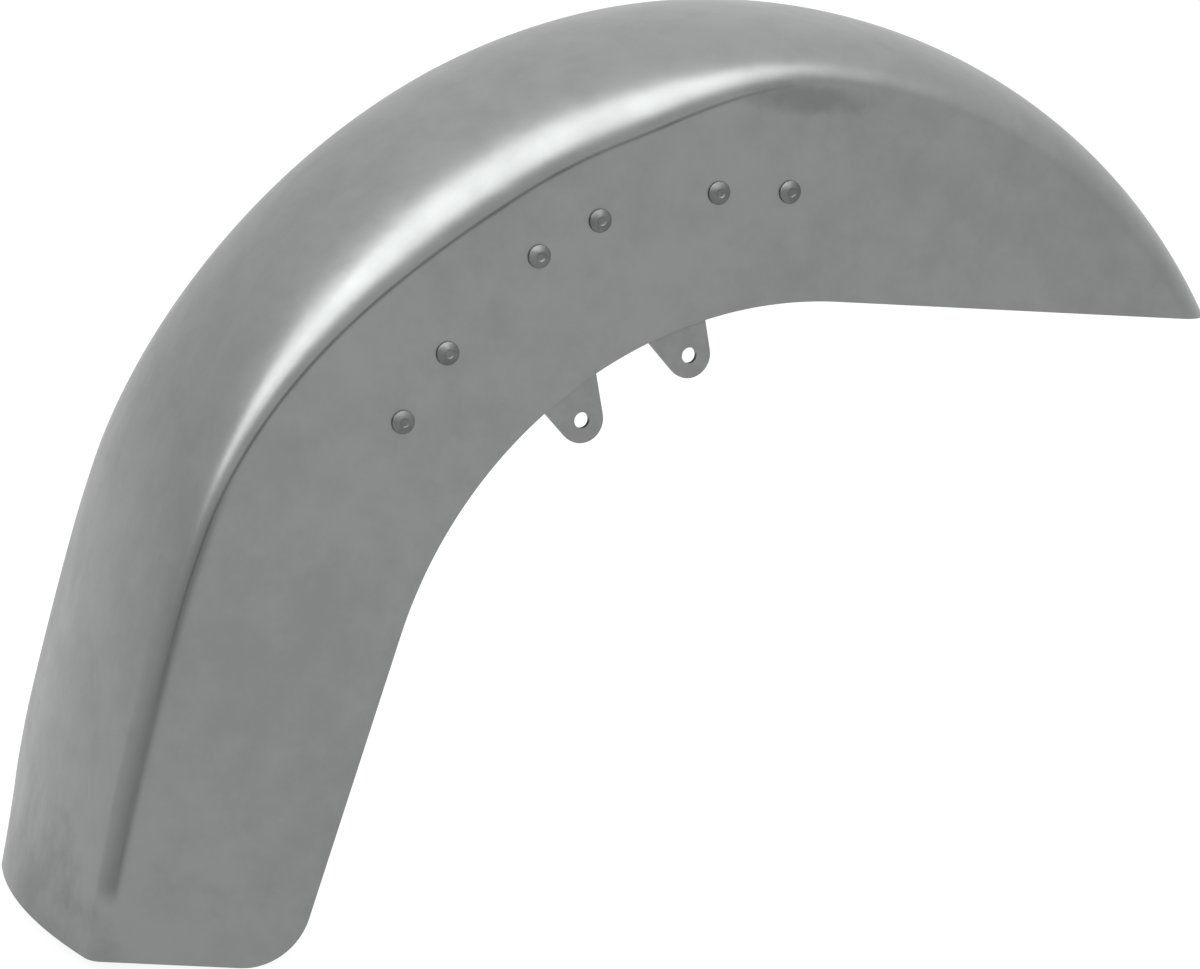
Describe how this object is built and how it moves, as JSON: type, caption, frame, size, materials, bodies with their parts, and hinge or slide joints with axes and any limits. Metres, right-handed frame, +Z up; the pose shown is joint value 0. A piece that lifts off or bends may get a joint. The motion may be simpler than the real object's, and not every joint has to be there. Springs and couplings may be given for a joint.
{
  "type": "motorcycle front fender",
  "caption": "Deep bare-steel front fender with a rounded crown, flat side skirts, a long straight tail and riveted inner brackets whose tabs bolt to the fork.",
  "frame": {"origin": "on the axis of the two front tab holes, midway between the two skirts", "axes": "+X points forward over the nose, +Y points to the rider's left across the fender, +Z points up; the object stands as it does on a motorcycle, its nose edge level"},
  "size_m": [0.6701, 0.174, 0.5215],
  "materials": {
    "skin_steel": "bare cold-rolled sheet, satin, unpainted",
    "bracket_steel": "bare plate, satin, unpainted",
    "rivet_steel": "bare, darker, set heads with a flat"
  },
  "bodies": {
    "root": {"fender_skin": "skin_steel", "bracket_right": "bracket_steel", "bracket_left": "bracket_steel", "rivet_right_1": "rivet_steel", "rivet_right_2": "rivet_steel", "rivet_right_3": "rivet_steel", "rivet_right_4": "rivet_steel", "rivet_right_5": "rivet_steel", "rivet_right_6": "rivet_steel", "rivet_left_1": "rivet_steel", "rivet_left_2": "rivet_steel", "rivet_left_3": "rivet_steel", "rivet_left_4": "rivet_steel", "rivet_left_5": "rivet_steel", "rivet_left_6": "rivet_steel"}
  },
  "joints": []
}
